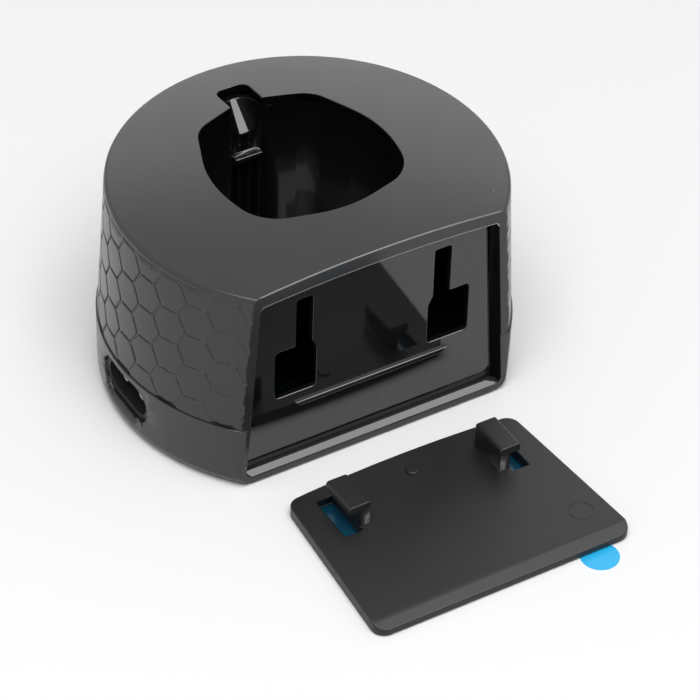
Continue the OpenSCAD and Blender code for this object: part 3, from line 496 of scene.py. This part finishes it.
# Inlet socket: the insulating body behind the tray's hole, moulded in glass-filled black nylon.
# It is duller than the shells, and stands on the board with the two pins pressed into it.
finish_node("inlet_socket", moulded_plastic("inlet_nylon", (0.012, 0.012, 0.012), 0.45, 0.05, 8e-6))

# Non-slip pad: a disc of dark rubber, cut from sheet and glued into its seat under the tray's floor.
# It is matt, with a coarse grain.
DARK_RUBBER = moulded_plastic("dark_rubber", (0.02, 0.02, 0.02), 0.8, 0.08, 2e-5, grain=900.0)
finish_node("non_slip_pad", DARK_RUBBER)


# Metal pieces: inlet pins of nickel-plated brass, nickel-plated steel screws and springs,
# and the charging contacts with their seats, of gold-plated brass. All are turned, wound or stamped.
def plated_metal(name, colour, roughness):
    """Material of a plated metal piece, with fine drawing marks in its roughness."""
    material = moulded_plastic(name, colour, roughness, 0.08, 2e-6, grain=4000.0)
    material.node_tree.nodes["Principled BSDF"].inputs["Metallic"].default_value = 1.0
    return material


NICKEL = plated_metal("nickel_plate", (0.5, 0.485, 0.455), 0.3)
GOLD = plated_metal("gold_plate", (0.86, 0.62, 0.24), 0.2)
for part in ("inlet_pins", "housing_screws", "cradle_screws", "board_screws",
             "pin_spring_left", "pin_spring_right"):
    finish_node(part, NICKEL)
for part in ("contact_pin_left", "contact_pin_right", "spring_seats"):
    finish_node(part, GOLD)

# Circuit board and what stands on it: green glass-epoxy laminate, screwed to the tray's posts, with
# the contacts' ivory nylon block, a sleeved capacitor and a moulded diode. The shells close them in.
finish_node("circuit_board", moulded_plastic("board_green", (0.004, 0.02, 0.010), 0.35, 0.05, 4e-6))
finish_node("contact_block", moulded_plastic("ivory_nylon", (0.62, 0.58, 0.48), 0.4, 0.05, 4e-6))
finish_node("smoothing_capacitor", moulded_plastic("can_sleeve", (0.02, 0.02, 0.03), 0.3, 0.05, 4e-6))
finish_node("input_diode", moulded_plastic("epoxy_black", (0.01, 0.01, 0.01), 0.5, 0.05, 4e-6))

# Wall plate: the arched plate that stays on the wall, moulded in glass-filled black with its two hooks.
# A fine eroded texture leaves it duller than the dock. A round mark shows where the mould was fed.
PLATE_BLACK = moulded_plastic("fine_textured_black", (0.008, 0.008, 0.0084), 0.44, 0.04, 1.2e-5,
                              grain=1600.0, specular=0.42)
plate_low, plate_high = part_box("wall_plate")
MARK_PLACE = Vector((plate_low.x + 0.0068, plate_high.y - 0.0096))
MARK_REACH, ROUNDED_ABOVE = 0.0032, 0.0012


def plate_radius(p):
    """Rounding of the plate's and hooks' upper edges, away from the round moulding mark."""
    return WIDEST if p.z > ROUNDED_ABOVE and (p.xy - MARK_PLACE).length > MARK_REACH else 0.0


softened("wall_plate", "plate", [PLATE_BLACK], plate_radius)

# Adhesive pad and release liner: a pad of pale acrylic foam, die-cut to the plate, under a blue film
# with a round pull tab. The film has painted shade, a dark petrol, under the plate, and its own bright blue
# where the tab is bared.
def liner_film():
    """Material of the film: painted shade, a dark petrol, under the plate, and its own blue past the plate's
    far edge.
    """
    material = moulded_plastic("blue_film", FILM_BARED[:3], 0.25, 0.05, 2e-6)
    tree = material.node_tree
    place = tree.nodes.new("ShaderNodeSeparateXYZ")
    tree.links.new(tree.nodes.new("ShaderNodeTexCoord").outputs["Object"], place.inputs[0])
    # Painted shade: 0 under the plate, rising to 1 past its far edge, where the film takes its own blue.
    bared = tree.nodes.new("ShaderNodeMapRange")
    bared.inputs["From Min"].default_value = plate_high.y - 0.0021
    bared.inputs["From Max"].default_value = plate_high.y + 0.0004
    tree.links.new(place.outputs["Y"], bared.inputs["Value"])
    blend_colours(tree, bared.outputs[0], FILM_PAINTED_SHADE, FILM_BARED)
    return material


# Painted shade: the film's dark petrol where the plate covers it, and its own blue where the tab is bared.
FILM_PAINTED_SHADE, FILM_BARED = (0.004, 0.06, 0.11, 1), (0.02, 0.47, 0.86, 1)
FOAM = moulded_plastic("acrylic_foam", (0.55, 0.58, 0.6), 0.7, 0.08, 2e-5, grain=700.0)
finish_node("adhesive_pad", FOAM)
finish_node("release_liner", liner_film())

# Table and light: one white paper sheet that keeps the dock's shadow, under soft studio lamps.
# It isn't part of the object. The far wall is as white as the sheet.
sheet = bmesh.new()
bmesh.ops.create_grid(sheet, x_segments=1, y_segments=1, size=6.0)
table = bpy.data.objects.new("table", bpy.data.meshes.new("table"))
sheet.to_mesh(table.data)
sheet.free()
bpy.context.scene.collection.objects.link(table)
paper = bpy.data.materials.new("white_paper")
paper.use_nodes = True
surface = paper.node_tree.nodes["Principled BSDF"].inputs
surface["Base Color"].default_value = (0.92, 0.92, 0.925, 1)
surface["Roughness"].default_value = 0.9
surface["Specular IOR Level"].default_value = 0.1
table.data.materials.append(paper)


def softbox(name, place, aim, width, height, watts, only_shine=False):
    """A rectangular lamp, turned to a point. One that only shines is seen in reflections alone."""
    lamp = bpy.data.lights.new(name, "AREA")
    lamp.shape = "RECTANGLE"
    lamp.size, lamp.size_y = width, height
    lamp.energy = watts
    holder = bpy.data.objects.new(name, lamp)
    holder.location = place
    holder.visible_diffuse = not only_shine
    holder.rotation_mode = "QUATERNION"
    holder.rotation_quaternion = (Vector(aim) - Vector(place)).to_track_quat("-Z", "Y")
    bpy.context.scene.collection.objects.link(holder)


softbox("overhead_softbox", (0.2, 0.4, 1.15), (0, 0.03, 0), 1.0, 1.0, 13.0)
softbox("edge_softbox", (-0.527, 0.455, 1.12), (0, 0.03, 0.02), 0.6, 0.56, 5.6, only_shine=True)
softbox("rear_softbox", (-0.48, 0.78, 0.786), (0, -0.03, 0.047), 0.34, 0.3, 1.95, only_shine=True)
softbox("far_softbox", (-0.98, -1.52, 0.85), (0, 0, 0.03), 1.6, 1.2, 5.0, only_shine=True)

world = bpy.data.worlds.new("studio")
bpy.context.scene.world = world
world.use_nodes = True
sky = world.node_tree
sky.nodes.clear()
rays = sky.nodes.new("ShaderNodeLightPath")
seen = math_node(sky, "MAXIMUM", rays.outputs["Is Camera Ray"], rays.outputs["Is Glossy Ray"])
seen = math_node(sky, "MAXIMUM", seen, rays.outputs["Is Transmission Ray"])
strength = sky.nodes.new("ShaderNodeMix")
strength.inputs["A"].default_value, strength.inputs["B"].default_value = 0.40, 1.0
sky.links.new(seen, strength.inputs["Factor"])
backdrop = sky.nodes.new("ShaderNodeBackground")
backdrop.inputs["Color"].default_value = (0.965, 0.97, 0.98, 1)
sky.links.new(strength.outputs["Result"], backdrop.inputs["Strength"])
sky.links.new(backdrop.outputs[0], sky.nodes.new("ShaderNodeOutputWorld").inputs["Surface"])

# Camera: behind and above the dock, on the side of its power inlet, with a long lens.
# Its place and turn were fitted to the dock's rim, its straight rear edge and its base.
CAMERA_PLACE = (0.34818, 0.56793, 0.57066)
camera_right = Vector((-0.85609115, 0.51613356, 0.02672258))
camera_up = Vector((-0.31778404, -0.56646313, 0.76035046))
camera_back = Vector((0.40757975, 0.64243729, 0.64896308))
lens = bpy.data.cameras.new("camera")
lens.sensor_width, lens.lens = 36.0, 205.714
lens.clip_start, lens.clip_end = 0.05, 50.0
camera = bpy.data.objects.new("camera", lens)
camera_turn = Matrix((camera_right, camera_up, camera_back)).transposed()
camera.matrix_world = Matrix.Translation(CAMERA_PLACE) @ camera_turn.to_4x4()
bpy.context.scene.collection.objects.link(camera)
bpy.context.scene.camera = camera

bpy.context.scene.view_settings.view_transform = "Standard"
